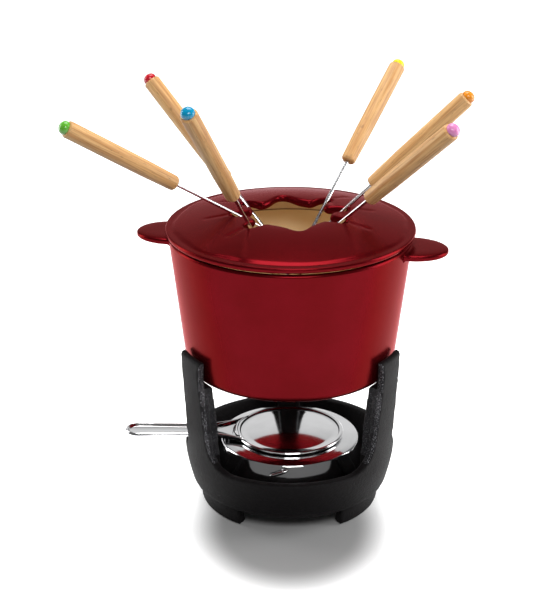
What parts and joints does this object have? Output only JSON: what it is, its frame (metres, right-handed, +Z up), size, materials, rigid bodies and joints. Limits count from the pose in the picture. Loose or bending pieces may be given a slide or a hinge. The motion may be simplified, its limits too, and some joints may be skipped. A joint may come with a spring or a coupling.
{
  "type": "fondue pot set",
  "caption": "Cast-iron fondue pot with fork ring and wooden-handled forks, on a three-legged open stand over a chromed paste burner with a long-handled snuffer lid.",
  "frame": {"origin": "on the ground plane, under the middle of the whole set's bounding box; the stand's vertical axis stands 13.9 mm to the right of it and 7.3 mm in front of it", "axes": "+Z up; -Y is the front, the open window between the two front uprights; +X is to the right seen from the front, and the snuffer handle points along -X"},
  "size_m": [0.2852, 0.2222, 0.3286],
  "materials": {
    "black_cast_iron": "satin black enamel over a fine sand-cast texture",
    "chromed_steel": "bright polished chrome plate",
    "fibre_pad": "off-white mineral fibre felt",
    "gauze_steel": "woven steel wire gauze",
    "red_enamel": "glossy dark red vitreous enamel, cream inside the pot",
    "fork_steel": "bright drawn stainless steel wire",
    "fork_wood": "pale close-grained wood, lightly sealed",
    "green_cap_plastic": "glossy green plastic",
    "blue_cap_plastic": "glossy blue plastic",
    "red_cap_plastic": "glossy red plastic",
    "yellow_cap_plastic": "glossy yellow plastic",
    "orange_cap_plastic": "glossy orange plastic",
    "pink_cap_plastic": "glossy pink plastic"
  },
  "bodies": {
    "stand": {"stand_casting": "black_cast_iron"},
    "burner": {"burner_cup": "chromed_steel", "absorbent_pad": "fibre_pad", "wire_gauze": "gauze_steel"},
    "cover": {"burner_cover": "chromed_steel"},
    "snuffer": {"snuffer_lid": "chromed_steel"},
    "pot": {"pot": "red_enamel"},
    "fork_ring": {"fork_ring": "red_enamel"},
    "green_fork": {"green_fork_shank": "fork_steel", "green_fork_handle": "fork_wood", "green_fork_cap": "green_cap_plastic"},
    "blue_fork": {"blue_fork_shank": "fork_steel", "blue_fork_handle": "fork_wood", "blue_fork_cap": "blue_cap_plastic"},
    "red_fork": {"red_fork_shank": "fork_steel", "red_fork_handle": "fork_wood", "red_fork_cap": "red_cap_plastic"},
    "yellow_fork": {"yellow_fork_shank": "fork_steel", "yellow_fork_handle": "fork_wood", "yellow_fork_cap": "yellow_cap_plastic"},
    "orange_fork": {"orange_fork_shank": "fork_steel", "orange_fork_handle": "fork_wood", "orange_fork_cap": "orange_cap_plastic"},
    "pink_fork": {"pink_fork_shank": "fork_steel", "pink_fork_handle": "fork_wood", "pink_fork_cap": "pink_cap_plastic"}
  },
  "joints": [
    {"name": "pot_lift", "type": "slide", "parent": "stand", "child": "pot", "axis": [0, 0, 1], "range_m": [0, 0.15]},
    {"name": "ring_lift", "type": "slide", "parent": "pot", "child": "fork_ring", "axis": [0, 0, 1], "range_m": [0, 0.16]},
    {"name": "burner_lift", "type": "slide", "parent": "stand", "child": "burner", "axis": [0, 0, 1], "range_m": [0, 0.03]},
    {"name": "cover_turn", "type": "hinge", "parent": "burner", "child": "cover", "pos_m": [0.0139, -0.00734, 0.04], "axis": [0, 0, 1], "range_deg": [-25, 0]},
    {"name": "snuffer_draw", "type": "slide", "parent": "cover", "child": "snuffer", "axis": [-0.8627, 0.4981, 0.0872], "range_m": [0, 0.18]},
    {"name": "green_fork_pull", "type": "slide", "parent": "fork_ring", "child": "green_fork", "axis": [-0.7677, -0.3515, 0.5358], "range_m": [0, 0.18]},
    {"name": "blue_fork_pull", "type": "slide", "parent": "fork_ring", "child": "blue_fork", "axis": [-0.2989, -0.546, 0.7826], "range_m": [0, 0.18]},
    {"name": "red_fork_pull", "type": "slide", "parent": "fork_ring", "child": "red_fork", "axis": [-0.6062, 0.3543, 0.712], "range_m": [0, 0.18]},
    {"name": "yellow_fork_pull", "type": "slide", "parent": "fork_ring", "child": "yellow_fork", "axis": [0.4309, 0.6559, 0.6198], "range_m": [0, 0.18]},
    {"name": "orange_fork_pull", "type": "slide", "parent": "fork_ring", "child": "orange_fork", "axis": [0.7115, -0.0261, 0.7022], "range_m": [0, 0.18]},
    {"name": "pink_fork_pull", "type": "slide", "parent": "fork_ring", "child": "pink_fork", "axis": [0.5497, -0.4949, 0.673], "range_m": [0, 0.18]}
  ]
}
